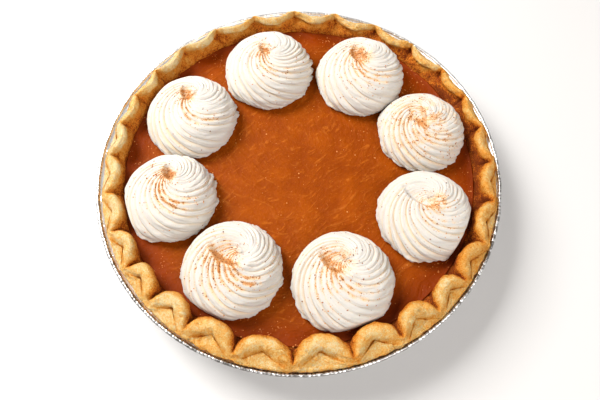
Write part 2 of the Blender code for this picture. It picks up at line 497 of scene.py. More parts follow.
def make_foil_finish():
    finish, board, shader = new_finish("bright_foil", Metallic=1.0)
    place = place_of(board)
    cloud = board.noise(place, 160.0, 3.0)
    rubbed = board.noise(place, 900.0, 2.0)
    painted_reflection_and_wear = mark(board, "painted_reflection_and_wear") + 0.5 * (rubbed - 0.5)
    tone = board.mix(board.fade(painted_reflection_and_wear, 0.20, 0.75), DARK_REFLECTION_AND_RUBBED_FOIL, BRIGHT_FOIL)
    feed(board, shader, bumps=[(cloud, 0.0004), (rubbed, 0.0001)],
         Base_Color=tone, Roughness=0.22 + 0.16 * rubbed)
    return finish


FOIL = show(make_foil_finish())


# %% [markdown]
# ### Baked dough
# Dough browns where it is thin or close to the filling, and stays pale where it bulges. The
# mesh carries that as a mark named brown, which also holds painted shade and light: it is darker
# in the crease, in the pockets at the notches and on the pie's right side, away from the key light,
# paler on its left side, and paler on the inner wall at the back, where the key light does not reach.
# Clouds, mottling, fine grain and darker freckles are added to it from noise at several sizes, and
# the sum picks a tone from pale gold to dark brown.

# %% Dough finish
DOUGH_TONES = (
    (0.00, (0.99, 0.750, 0.400)),
    (0.14, (0.98, 0.635, 0.230)),
    (0.32, (0.97, 0.500, 0.120)),
    (0.52, (0.92, 0.370, 0.046)),
    (0.70, (0.83, 0.245, 0.016)),
    (0.86, (0.56, 0.118, 0.007)),
    (1.00, (0.26, 0.046, 0.004)),
)


def make_dough_finish():
    finish, board, shader = new_finish("baked_dough", Specular_IOR_Level=0.16, Subsurface_Weight=0.05,
                                       Subsurface_Scale=0.002)
    place = place_of(board)
    clouds = board.noise(place, 170.0, 4.0, 0.6)
    mottle = board.noise(place, 620.0, 5.0, 0.72)
    fine = board.noise(place, 1500.0, 3.0, 0.65)
    freckle = board.fade(board.noise(place, 900.0, 2.0), 0.62, 0.70)
    # bake is the brown mark, with its painted shade and light, plus noise
    bake = mark(board, "brown") + 0.04 + 1.00 * (clouds - 0.5) + 0.85 * (mottle - 0.5)
    bake = bake + 1.20 * (fine - 0.5) + 0.16 * freckle
    tone = board.add("ShaderNodeValToRGB", {0: bake}, stops=DOUGH_TONES)
    feed(board, shader, bumps=[(mottle, 0.0020), (fine, 0.00150)],
         Base_Color=tone, Roughness=0.60 + 0.2 * mottle)
    return finish


DOUGH = show(make_dough_finish())


# %% [markdown]
# ### Set filling
# Baked pumpkin custard is orange-brown with a moist skin. A knife leaves pale streaks in it: some
# run straight, so their noise is stretched one way, and some sweep round, so theirs is read by
# bearing and distance from the middle of the sweep. Towards the rim the custard has baked longer and
# is redder, darker and glossier. The mark named rim says how near the rim a place is.

# %% Filling finish
CUSTARD_DARK = (0.214, 0.0350, 0.0002)
CUSTARD_LIGHT = (0.288, 0.054, 0.0004)
BAKED_DARK = (0.145, 0.0180, 0.0004)
BAKED_LIGHT = (0.258, 0.037, 0.0006)
STREAK_TONE = (0.50, 0.132, 0.012)
SWEEP_TONE = (0.47, 0.136, 0.017)
PALE_SPECK = (0.54, 0.160, 0.023)
DARK_SPECK = (0.24, 0.032, 0.0006)
SWEEP_MIDDLE = (0.012, 0.026, 0.0)
STREAK_DRIFT = 0.030          # how far the straight streaks stray, in metres
STREAK_TURN = -0.6            # their direction, in radians


def make_filling_finish():
    finish, board, shader = new_finish("set_custard", Specular_IOR_Level=0.05, Coat_Roughness=0.16,
                                       Coat_IOR=1.35)
    place = place_of(board)
    clouds = board.noise(place, 60.0, 4.0, 0.6)
    stray = board.add("ShaderNodeTexNoise", {"Vector": place, "Scale": 22.0, "Detail": 2.0}, out="Color")
    drift = board.scaled(board.vector("SUBTRACT", stray, (0.5, 0.5, 0.5)), STREAK_DRIFT)
    turned = board.add("ShaderNodeVectorRotate", {
        "Vector": board.vector("ADD", place, drift), "Angle": STREAK_TURN}, rotation_type="Z_AXIS")
    x, y, z = board.parts(turned)
    streak = board.noise(board.joined(x * 90.0, y * 330.0, z), 1.0, 4.0, 0.65)
    across, along, up = board.parts(board.vector("SUBTRACT", turned, SWEEP_MIDDLE))
    reach = board.span(across, along)
    bearing = board.math("ARCTAN2", along, across)
    sweep = board.noise(board.joined(2.2 * bearing, reach * 300.0, 7.0), 1.0, 4.0, 0.7)
    speckle = board.noise(place, 620.0, 4.0, 0.7)
    rim = mark(board, "rim")
    body = board.mix(board.fade(clouds, 0.30, 0.70), CUSTARD_DARK, CUSTARD_LIGHT)
    layers = (                # share, pattern, where it starts and is full, and its tone
        (0.45, streak, 0.56, 0.68, STREAK_TONE),
        (0.42, sweep, 0.56, 0.72, SWEEP_TONE),
        (0.40, speckle, 0.58, 0.68, PALE_SPECK),
        (0.45, speckle, 0.45, 0.34, DARK_SPECK),
    )
    for share, pattern, start, full, color in layers:
        body = board.mix(share * board.fade(pattern, start, full), body, color)
    baked = board.mix(clouds, BAKED_DARK, BAKED_LIGHT)
    tone = board.mix(board.fade(rim + 0.6 * (clouds - 0.5), 0.20, 0.90), body, baked)
    rim_glaze = 0.45 * board.fade(rim, 0.80, 0.98) * board.fade(speckle, 0.4, 0.6)
    glaze = 0.14 * board.fade(0.5 * (streak + sweep), 0.54, 0.68) + rim_glaze
    feed(board, shader, bumps=[(clouds, 0.0012), (streak, 0.0006), (sweep, 0.0007), (speckle, 0.00035)],
         Base_Color=tone, Roughness=0.46 - 0.14 * rim, Coat_Weight=glaze)
    return finish


CUSTARD = show(make_filling_finish())


# %% [markdown]
# ### Whipped cream
# Cream is soft and nearly white. Light travels a little way inside it, so its shadows are warm.
# The grooves between two ribs are given a painted beige shade. Cinnamon dust first tints the cream
# beige and then lies on it as separate specks, which a fine noise picks. The mesh carries both as
# marks, groove and dust.

# %% Cream finish
CREAM_DARK = (0.545, 0.516, 0.472)
CREAM_LIGHT = (0.590, 0.562, 0.520)
PAINTED_GROOVE_SHADE = (0.76, 0.585, 0.38)
TINTED_CREAM = (0.74, 0.50, 0.26)
PALE_SPICE = (0.52, 0.215, 0.055)
DARK_SPICE = (0.36, 0.110, 0.020)


def make_cream_finish():
    finish, board, shader = new_finish("whipped_cream", Specular_IOR_Level=0.25, Subsurface_Weight=0.35,
                                       Subsurface_Radius=(1.0, 0.72, 0.48), Subsurface_Scale=0.0016)
    place = place_of(board)
    cloud = board.noise(place, 260.0, 3.0)
    powder = board.noise(place, 1900.0, 3.0, 0.75)
    clean = board.mix(cloud, CREAM_DARK, CREAM_LIGHT)
    # painted beige shade in the grooves
    shaded = board.mix(0.75 * board.fade(mark(board, "groove"), 0.05, 0.75), clean, PAINTED_GROOVE_SHADE)
    dust = mark(board, "dust")
    beige = board.mix(0.70 * board.fade(dust, 0.03, 0.55), shaded, TINTED_CREAM)
    dusted = board.fade(dust + 3.2 * (powder - 0.5) + 1.0 * (cloud - 0.5), 0.50, 0.95)
    spice = board.mix(board.fade(powder, 0.50, 0.66), PALE_SPICE, DARK_SPICE)
    tone = board.mix(0.88 * dusted, beige, spice)
    feed(board, shader, bumps=[(cloud, 0.0004), (powder, 0.00006)],
         Base_Color=tone, Roughness=0.48 + 0.15 * cloud)
    return finish


CREAM = show(make_cream_finish())


# %% [markdown]
# ### Cinnamon
# Ground cinnamon is made of grains from orange-brown to nearly black. Each grain carries its own
# tone, a number from 0 to 1, so one finish covers them all.

# %% Cinnamon finish
CINNAMON_TONES = (
    (0.00, (0.64, 0.28, 0.070)),
    (0.45, (0.50, 0.170, 0.030)),
    (0.80, (0.29, 0.082, 0.014)),
    (1.00, (0.13, 0.041, 0.010)),
)


def make_cinnamon_finish():
    finish, board, shader = new_finish("ground_cinnamon", Roughness=0.8, Specular_IOR_Level=0.2)
    tone = board.add("ShaderNodeValToRGB", {0: mark(board, "tone")}, stops=CINNAMON_TONES)
    feed(board, shader, Base_Color=tone)
    return finish


CINNAMON = show(make_cinnamon_finish())

# %% [markdown]
# ## Foil pan
# The pan's section is a line: base, sloping side, flat lip and a round roll. It is turned round the
# axis with many columns. A foil pan is then full of creases: pleats run down its side, because a
# flat disc has too much foil for a cone, and short crimps cross its roll. Both repeat around, so a
# Geometry Nodes tree moves the turned surface.

# %% Turned pan
PAN_COLUMNS = 1440
ROLL_STEPS = 14


def slope_radius(height):
    """Radius of the pan's inner side at a height."""
    share = (height - PAN_WALL) / (LIP_TOP - PAN_WALL)
    return PAN_BASE_RADIUS + share * (PAN_MOUTH_RADIUS - PAN_BASE_RADIUS)


def pan_section():
    """(radius, height) from the middle of the underside over the roll to the middle of the inside."""
    corner = slope_radius(PAN_CORNER)
    outside = [(PAN_BASE_RADIUS - PAN_CORNER, 0.0), (PAN_BASE_RADIUS - 0.0008, 0.0005)]
    for share in np.linspace(0.0, 1.0, 12):
        height = PAN_CORNER + share * (LIP_TOP - PAN_WALL - PAN_CORNER)
        outside.append((slope_radius(height) + PAN_WALL, height))
    middle = PAN_RADIUS - PAN_ROLL_RADIUS
    roll = []
    for angle in np.radians(np.linspace(-165, 165, ROLL_STEPS)):
        roll.append((middle + PAN_ROLL_RADIUS * math.cos(angle),
                     PAN_HEIGHT - PAN_ROLL_RADIUS + PAN_ROLL_RADIUS * math.sin(angle)))
    lip = [(middle - PAN_ROLL_RADIUS - 0.0006, LIP_TOP), (PAN_MOUTH_RADIUS + 0.002, LIP_TOP)]
    inside = [(PAN_MOUTH_RADIUS, LIP_TOP), (corner, PAN_CORNER), (PAN_BASE_RADIUS - PAN_CORNER, PAN_WALL)]
    return outside + roll + lip + inside


def turned_pan():
    section = pan_section()
    turn = np.linspace(0.0, 360.0, PAN_COLUMNS, endpoint=False)
    rows = np.array([polar(radius, turn, height) for radius, height in section])
    return loft("turned_pan", rows, (0, 0, 0), (0, 0, PAN_WALL))


print("the pan's section has", len(pan_section()), "points")

# %% Crimping tree
def crimping_tree():
    """Pleats on the sloping side and crimps across the roll."""
    board, given = new_tree("crimping", {"Pleats": int, "Pleat depth": float, "Crimps": int,
                                         "Crimp depth": float, "Wander": float, "Seed": int})
    place = board.add("GeometryNodeInputPosition")
    x, y, z = board.parts(place)
    turn = board.math("ARCTAN2", y, x) / math.tau
    radius = board.span(x, y)
    outward = board.vector("NORMALIZE", board.joined(x, y, 0.0))
    round_trip = board.circle(turn * math.tau, given["Seed"])
    drift = board.noise(round_trip, 9.0, 3.0) - 0.5
    pleat = abs(board.math("SINE", (turn + 0.012 * drift) * given["Pleats"] * math.pi))
    height = board.fade(z, 0.004, LIP_TOP) * board.fade(z, PAN_HEIGHT - PAN_ROLL_RADIUS, LIP_TOP - 0.002)
    side = height * board.fade(radius, PAN_BASE_RADIUS - PAN_CORNER, PAN_BASE_RADIUS + 0.001)
    in_out = given["Pleat depth"] * side * (pleat ** 0.6 - 1.0)
    cell = board.math("FLOOR", (turn + 0.004 * drift) * given["Crimps"])
    lift = board.add("ShaderNodeTexWhiteNoise", {"W": cell + given["Seed"]}, noise_dimensions="1D")
    edge = abs(board.math("SINE", (turn + 0.004 * drift) * given["Crimps"] * math.pi))
    roll = board.fade(radius, PAN_RADIUS - 2.6 * PAN_ROLL_RADIUS, PAN_RADIUS - 1.6 * PAN_ROLL_RADIUS)
    dent = given["Crimp depth"] * roll * (0.35 + 0.65 * lift) * (edge ** 0.5 - 1.0)
    wobble = given["Wander"] * roll * (board.noise(round_trip, 14.0, 2.0) - 0.5)
    offset = board.scaled(outward, in_out + dent + wobble)
    offset = board.vector("ADD", offset, board.joined(0.0, 0.0, 0.8 * dent + wobble))
    # painted reflections on the roll: bright and dark glints on the crimps, shown mostly at the front, an
    # evenly bright roll at the back and a dark band along the roll's outer edge
    painted_glint = (edge ** 0.6) * (0.20 + 1.0 * lift) + 1.2 * (board.noise(round_trip, 420.0, 2.0) - 0.5)
    frontwards = 0.35 + 0.65 * board.fade(y, 0.07, -0.07)
    painted_dark_edge = board.fade(radius, PAN_RADIUS - 0.55 * PAN_ROLL_RADIUS, PAN_RADIUS - 0.20 * PAN_ROLL_RADIUS)
    painted_reflection_and_wear = board.blend(0.75 * painted_dark_edge, board.blend(roll * frontwards, 0.75, painted_glint), 0.25)
    marked = board.marked(given["Mesh"], "painted_reflection_and_wear", painted_reflection_and_wear)
    moved = board.add("GeometryNodeSetPosition", {"Geometry": marked, "Offset": offset})
    return close_tree(board, moved, given)


foil_pan = grow("foil_pan", crimping_tree(), {
    "Pleats": 150, "Pleat depth": 0.0009, "Crimps": 330, "Crimp depth": 0.00042, "Wander": 0.0006,
    "Seed": 4, "Finish": FOIL}, turned_pan())
serve(foil_pan, "foil", "pan")

# %% [markdown]
# ## Fluted crust
# The baker rolls the dough's edge to a rope and pinches it into flutes: a thumb pushes the rope
# inwards between two fingers. Each flute is an arch, with a crease along its outer foot and a sharp
# notch on each side. At the back the pinches are shallow: the edge is a plump pale rope there, with
# a lip of foil left bare. The mesh is a loft: one section for each direction, whose control points
# move with the share of the flute that it is in, joined by a smooth spline.

# %% Flute layout
STATIONS = 34                 # columns across one flute, closer together at the notches
PINCH = 0.0036                # depth of the sharp notch between two flutes
PINCH_WIDTH = 0.095           # share of a flute
SECTION_STEPS = 5             # points between two control points


def flute_angle(flute):
    """Direction of a place along the edge, counted in flutes; hand pinching is uneven."""
    turn = math.tau * np.asarray(flute, float) / FLUTES
    drift = sum(size * np.cos(waves * turn + math.radians(phase)) for waves, size, phase in FLUTE_WAVES)
    return FLUTE_START + np.degrees(turn) + drift


def front_share(degrees):
    """1 at the front of the pie, falling to 0 at its back."""
    return (0.5 + 0.5 * np.cos(np.radians(degrees - FRONT_ANGLE))) ** 2


def flute_columns():
    """Arrays over all columns: direction, place in the flute, swing and height of its flute."""
    chance = random.Random(9)
    steps = np.arange(STATIONS) / STATIONS
    across = 0.5 - 0.5 * np.cos(math.pi * steps)
    across = 0.55 * across + 0.45 * steps
    columns = []
    for flute in range(FLUTES):
        gain = 1 + FRONT_DEEPENING * front_share(flute_angle(flute + 0.5))
        depth = FLUTE_DEPTH * gain * chance.uniform(0.92, 1.08)
        height = RIDGE_HEIGHT * chance.uniform(0.92, 1.06)
        for share in across:
            columns.append((float(flute_angle(flute + share)), share, depth, height, flute))
    return [np.array(values) for values in zip(*columns)]


print("the edge has", FLUTES * STATIONS, "columns")

# %% Flute section
def spline(control, steps):
    """A smooth line through control points along the first axis, with its own places in between."""
    ends = np.concatenate([2 * control[:1] - control[1:2], control, 2 * control[-1:] - control[-2:-1]])
    share = (np.arange(steps) / steps).reshape(-1, *[1] * (control.ndim - 1))
    rows = []
    for a, b, c, d in zip(ends, ends[1:], ends[2:], ends[3:]):
        slope_b, slope_c = (c - a) / 2, (d - b) / 2
        curve = (2 * b - 2 * c + slope_b + slope_c) * share ** 3
        curve = curve + (3 * c - 3 * b - 2 * slope_b - slope_c) * share ** 2 + slope_b * share + b
        rows.append(curve)
    return np.concatenate(rows + [control[-1:]])


def flute_controls():
    """Control points of every section: (radius, height, brown), from the flange's foot to the well."""
    direction, place, depth, height, flute = flute_columns()
    uneven = np.random.default_rng(12)
    lean, width, bake = (uneven.uniform(low, high, FLUTES)[flute.astype(int)]
                         for low, high in ((-0.06, 0.06), (0.90, 1.10), (-0.06, 0.10)))
    crest = place + lean * np.sin(math.pi * place)
    arch = np.sin(math.pi * crest)
    point = np.clip(1 - CREASE_TAPER * np.abs(crest - 0.5), 0, 1)
    near_notch = np.exp(-(np.minimum(place, 1 - place) / PINCH_WIDTH) ** 1.2)
    bottom = LIP_TOP + GAP
    top = bottom + FLANGE_THICKNESS
    back = front_share(direction + 180)
    rise = height * (1 - (NOTCH_DIP + (BACK_DIP - NOTCH_DIP) * back) * (1 - arch ** (1 + back)))
    edge = FLANGE_RADIUS - BARE_LIP * back * arch
    inner = INNER_NOTCH - INNER_SWING * depth * arch ** (INNER_ARCH + (BACK_ARCH - INNER_ARCH) * back)
    wave = arch ** (CREST_ARCH + (BACK_WAVE - CREST_ARCH) * back)
    middle = CREST_NOTCH - CREST_SWING * depth * wave - 0.0012 * back * arch
    crease = np.minimum(CREASE_NOTCH - CREASE_SWING * depth * point, edge - APRON_LIMIT)
    outside, inside = crease - middle, middle - inner
    leg = 1 - point ** 0.8
    crease_rise = (0.16 + 0.20 * point) * rise
    groove = 0.0010 * point * width
    pinch = PINCH * near_notch * (1 - 0.85 * back)
    # hollow is painted shade in the pockets beside each notch, and a little near the notches at the back
    hollow = 0.7 * near_notch * (1 - 0.4 * back) + 0.12 * back * (1 - arch)
    flat = np.zeros_like(place)
    # side adds painted shade: the pie's right side, away from the key light, is browner and its left side
    # paler; bake itself is uneven browning
    side = bake + 0.13 * np.cos(np.radians(direction + 15)) - 0.01
    controls = [
        # round the flange's edge
        (edge - 0.0012, bottom + flat, 0.50 + flat),
        (edge - 0.0001, bottom + 0.0006 + flat, 0.40 + flat),
        (edge, top - 0.0009 + flat, 0.30 + flat),
        (edge - 0.0007, top + 0.0001 + flat, 0.18 + side),
        # up the apron and into the crease
        (edge - 0.50 * (edge - crease), top + 0.45 * crease_rise, 0.15 + side),
        # 0.50 * point darkens the crease: painted shade under the rope
        (crease + 0.0004, top + crease_rise, 0.20 + side + 0.10 * point),
        (crease, top + crease_rise - groove, 0.26 + side + 0.50 * point),
        # over the rope
        # near_notch darkens the rope beside each notch: painted shade
        (crease - 0.0003 - (0.05 + 0.24 * leg) * outside, top + (0.50 - 0.04 * leg) * rise - 0.1 * pinch,
         0.24 + side + 0.08 * near_notch),
        (middle + (0.62 - 0.10 * leg) * outside, top + (0.82 - 0.14 * leg - 0.06 * back) * rise - 0.3 * pinch,
         0.15 + side + 0.20 * near_notch * (1 - back)),
        (middle + 0.15 * outside, top + (1.00 - 0.06 * leg - 0.03 * back) * rise - 0.8 * pinch,
         0.10 + side + 0.5 * near_notch * (1 - back)),
        # at the back these points are paler: painted light on the inner wall, which faces away from the key
        # light
        (middle - 0.38 * inside, top + 0.97 * rise - 1.1 * pinch,
         0.16 - 0.06 * back + side + hollow * (1 - 0.7 * back)),
        (middle - 0.80 * inside - 0.0016 * back * (0.25 + 0.75 * arch),
         top + (0.76 - 0.18 * back) * rise - 1.0 * pinch, 0.42 - 0.30 * back + side + 0.7 * hollow),
        # down the inner side to the well
        (inner + 0.0003 * back, top + (0.40 - 0.14 * back) * rise - 0.5 * pinch,
         0.70 - 0.24 * back + side + (0.3 + 0.5 * back) * hollow),
        (0.5 * inner + 0.5 * WELL_RADIUS, top - 0.0016 + flat, 0.84 - 0.14 * back + side),
        (WELL_RADIUS + flat, FILL_LEVEL + flat, 0.98 - 0.24 * back),
        (WELL_FOOT[0] + flat, WELL_FOOT[1] + flat, 0.9 + flat),
    ]
    return direction, np.array(controls)


print("a section has", len(flute_controls()[1]), "control points")

# %% Crust piece
LINING = 0.0042               # thickness of the dough under the filling
LINING_CORNER = 0.0030        # height and width of its rounded corner


def crust_mesh():
    direction, controls = flute_controls()
    rows = spline(controls, SECTION_STEPS)
    radius, height, brown = rows[:, 0], rows[:, 1], rows[:, 2]
    points = polar(radius, direction, height)
    settled = np.clip((height - FILL_LEVEL) / 0.002, 0, 1)[..., None]
    points = points + settled * FLANGE_SHIFT
    under = PAN_WALL + GAP
    corner = slope_radius(PAN_CORNER + GAP) - 2 * GAP
    first = [polar(corner - PAN_CORNER, direction, under), polar(corner, direction, PAN_CORNER + GAP),
             polar(PAN_MOUTH_RADIUS - GAP, direction, LIP_TOP + GAP)]
    inner_corner = corner - 0.002
    last = [polar(inner_corner, direction, under + LINING + LINING_CORNER),
            polar(inner_corner - LINING_CORNER, direction, under + LINING)]
    points = np.concatenate([first, points, last])
    brown = np.concatenate([np.full((3, len(direction)), 0.5), brown, np.full((2, len(direction)), 0.9)])
    return loft("crust_edge", points, (0, 0, under), (0, 0, under + LINING), {"brown": brown})


def dough_tree():
    """Lumps and grain of dough, pushed in and out along the surface."""
    board, given = new_tree("dough_surface", {"Lump size": float, "Lump depth": float, "Grain size": float,
                                              "Grain depth": float, "Seed": int})
    apart = board.joined(given["Seed"], 0.0, 0.0)
    place = board.vector("ADD", board.add("GeometryNodeInputPosition"), apart)
    lumps = board.noise(place, 1.0 / given["Lump size"], 2.0) - 0.5
    grain = board.noise(place, 1.0 / given["Grain size"], 3.0) - 0.5
    push = given["Lump depth"] * lumps + given["Grain depth"] * grain
    normal = board.add("GeometryNodeInputNormal")
    offset = board.scaled(normal, push)
    moved = board.add("GeometryNodeSetPosition", {"Geometry": given["Mesh"], "Offset": offset})
    return close_tree(board, moved, given)


baked_crust = grow("baked_crust", dough_tree(), {
    "Lump size": 0.0055, "Lump depth": 0.0026, "Grain size": 0.0016, "Grain depth": 0.0009, "Seed": 2,
    "Finish": DOUGH}, crust_mesh())
serve(baked_crust, "crust", "crust")

# %% [markdown]
# ## Set filling
# Custard pours flat and then clings to the crust, so a thin film climbs at the rim. A knife or the
# oven leaves faint ripples. The piece is turned from rings of points, closer together at the rim,
# and a tree adds the ripples. Its mark says how near the rim each point is.

# %% Custard piece
DISC_RINGS = 110
DISC_COLUMNS = 560
CUSTARD_FOOT = (0.094, 0.012)  # radius and height of its underside
FILM_WIDTH = 0.0060
FILM_RISE = 0.0011
RIM_START = 0.082             # radius from which it has baked longer


def custard_mesh():
    direction = flute_angle(np.arange(DISC_COLUMNS) * FLUTES / DISC_COLUMNS)
    reach = WELL_RADIUS + 0.0006
    radii = reach * np.linspace(0.0, 1.0, DISC_RINGS + 1)[1:] ** 0.8
    film = np.clip((radii - reach + FILM_WIDTH) / FILM_WIDTH, 0, 1)
    rows = [polar(CUSTARD_FOOT[0], direction, CUSTARD_FOOT[1]),
            polar(WELL_FOOT[0] - 2 * GAP, direction, WELL_FOOT[1])]
    rows += [polar(radius, direction, FILL_LEVEL + FILM_RISE * lift ** 2)
             for radius, lift in zip(radii[::-1], film[::-1])]
    near = np.clip((radii[::-1] - RIM_START) / (reach - RIM_START), 0, 1)
    rim = np.concatenate([[1.0, 1.0], near])[:, None] + np.zeros(DISC_COLUMNS)
    under = (0, 0, CUSTARD_FOOT[1])
    return loft("custard_disc", np.array(rows), under, (0, 0, FILL_LEVEL), {"rim": rim})


def ripple_tree():
    """Low ripples on the custard, longer one way than the other."""
    board, given = new_tree("custard_ripples", {"Ripple size": float, "Ripple depth": float,
                                                "Stretch": float, "Turn": float})
    place = board.add("GeometryNodeInputPosition")
    turned = board.add("ShaderNodeVectorRotate", {"Vector": place, "Angle": given["Turn"]},
                       rotation_type="Z_AXIS")
    x, y, z = board.parts(turned)
    long_way = board.joined(x / given["Stretch"], y, z)
    ripple = board.noise(long_way, 1.0 / given["Ripple size"], 3.0) - 0.5
    top = board.fade(z, FILL_LEVEL - 0.001, FILL_LEVEL - 0.0004)
    offset = board.joined(0.0, 0.0, given["Ripple depth"] * ripple * top)
    moved = board.add("GeometryNodeSetPosition", {"Geometry": given["Mesh"], "Offset": offset})
    return close_tree(board, moved, given)


custard = grow("set_filling", ripple_tree(), {
    "Ripple size": 0.004, "Ripple depth": 0.00022, "Stretch": 5.0, "Turn": -0.5, "Finish": CUSTARD},
    custard_mesh())
serve(custard, "filling", "filling")

# %% [markdown]
# ### Bubbles and flecks in the custard
# Whisked custard traps air. The bubbles rise, burst or bake as tiny pale beads that sit half sunk in
# the skin, in loose clusters and more of them towards the rim. They repeat, so a tree scatters them
# over the top of the finished filling.

# %% Bubbles piece
BEAD_DARK = (0.44, 0.100, 0.010)
BEAD_LIGHT = (0.70, 0.30, 0.08)


def make_bubble_finish():
    finish, board, shader = new_finish("baked_bubble", Roughness=0.40, Specular_IOR_Level=0.3)
    cloud = board.noise(place_of(board), 500.0, 2.0)
    feed(board, shader, Base_Color=board.mix(cloud, BEAD_DARK, BEAD_LIGHT))
    return finish


def bubble_tree():
    """Beads of several sizes on a surface that faces up, in clusters."""
    board, given = new_tree("custard_bubbles", {"Density": float, "Radius": float, "Rim": float,
                                                "Seed": int})
    place = board.add("GeometryNodeInputPosition")
    x, y, z = board.parts(place)
    reach = board.span(x, y)
    facing = board.fade(board.parts(board.add("GeometryNodeInputNormal"))[2], 0.5, 0.9)
    cluster = board.fade(board.noise(place, 90.0, 3.0), 0.50, 0.68)
    rimwards = 0.35 + given["Rim"] * board.fade(reach, 0.06, 0.10)
    amount = given["Density"] * facing * (0.06 + cluster) * rimwards
    scattered = board.add("GeometryNodeDistributePointsOnFaces", {
        "Mesh": given["Mesh"], "Density": amount, "Seed": given["Seed"]}, distribute_method="RANDOM")
    chance = board.add("ShaderNodeTexWhiteNoise", {"W": board.add("GeometryNodeInputIndex") + 0.5},
                       noise_dimensions="1D")
    size = given["Radius"] * (0.45 + 1.1 * chance * chance * chance)
    bead = board.add("GeometryNodeMeshIcoSphere", {"Radius": 1.0, "Subdivisions": 2})
    beads = board.add("GeometryNodeInstanceOnPoints", {
        "Points": scattered, "Instance": bead, "Scale": board.joined(size, size, 0.55 * size)})
    return close_tree(board, beads, given)


bubbles = grow("custard_bubbles", bubble_tree(), {
    "Density": 130000.0, "Radius": 0.00034, "Rim": 1.6, "Seed": 6, "Finish": make_bubble_finish()},
    custard.data.copy())
serve(bubbles, "filling")

# %% [markdown]
# ## Cream rosettes
# A star nozzle leaves ribs of cream. The hand turns as it presses, so the ribs wind round from the
# base to an eye at the top, and pulling the nozzle away leaves a hollow beside the last curl. All
# of that follows a rule, so one Geometry Nodes tree makes a rosette from named inputs, and the
# eight rosettes differ only in their values and seed.

# %% Rosette places
ROSETTES = (
    # direction in degrees, distance, radius, height and start of the swirl in degrees; then in
    # millimetres from its middle: the eye, the crater, its half length, half width, turn and depth,
    # and the dust's middle and reach, with the shares near it, along grooves, in the crater and all over
    (105.2, 0.0725, 0.0284, 0.0215, 0, (1.9, 4.8), (-1.5, 5.0), (4.5, 3.0, -50, 2.8),
     (-3.0, 5.0, 5.5, 1.3, 0.7, 0.60, 0.050)),
    (57.5, 0.0757, 0.0282, 0.0220, 7, (2.0, 7.0), (-2.6, 5.9), (5.5, 3.8, -70, 3.0),
     (-1.6, 5.0, 6.5, 1.8, 1.0, 0.90, 0.060)),
    (152.6, 0.0754, 0.0280, 0.0210, 3, (3.4, 7.3), (-1.6, 8.0), (4.6, 2.8, -70, 3.2),
     (-1.0, 7.0, 5.0, 1.4, 0.8, 0.80, 0.050)),
    (16.3, 0.0796, 0.0264, 0.0205, 11, (-0.3, 2.2), (-3.0, 2.0), (6.0, 5.0, -35, 1.2),
     (-1.0, 1.0, 12.0, 1.0, 0.4, 0.20, 0.210)),
    (195.3, 0.0786, 0.0273, 0.0205, 5, (3.5, 8.0), (1.4, 9.2), (4.2, 2.4, -70, 3.8),
     (1.4, 8.0, 5.5, 1.2, 1.4, 0.90, 0.045)),
    (335.3, 0.0803, 0.0274, 0.0205, 9, (0.8, 6.5), (-4.5, 6.4), (9.5, 4.6, -38, 4.6),
     (4.8, 1.6, 5.0, 2.2, 0.5, 0.10, 0.045)),
    (240.0, 0.0747, 0.0279, 0.0210, 14, (5.8, 6.5), (-0.4, 5.7), (10.0, 6.4, -28, 6.4),
     (-4.5, 2.0, 7.5, 1.7, 1.2, 0.06, 0.045)),
    (288.3, 0.0760, 0.0281, 0.0210, 2, (1.4, 9.3), (-4.3, 7.7), (9.0, 5.4, -38, 4.4),
     (-4.0, 6.0, 8.0, 1.1, 1.0, 0.32, 0.035)),
)
PER_RIB = 20
CREAM_RINGS = 96
# curves from the base, 0, to the eye, 1: share of the radius, share of the height, turning, rib depth
DOME_ACROSS = ((0.0, 0.92), (0.16, 1.0), (0.42, 0.87), (0.68, 0.56), (0.88, 0.22), (1.0, 0.01))
DOME_UP = ((0.0, 0.0), (0.16, 0.26), (0.42, 0.64), (0.68, 0.91), (0.88, 0.98), (1.0, 0.97))
DOME_WINDING = ((0.0, 0.0), (0.16, 0.06), (0.42, 0.155), (0.68, 0.305), (0.88, 0.50), (1.0, 0.70))
DOME_RELIEF = ((0.0, 1.0), (0.16, 1.0), (0.42, 0.95), (0.68, 0.66), (0.88, 0.28), (1.0, 0.0))
print(len(ROSETTES), "rosettes have", RIBS, "ribs each")

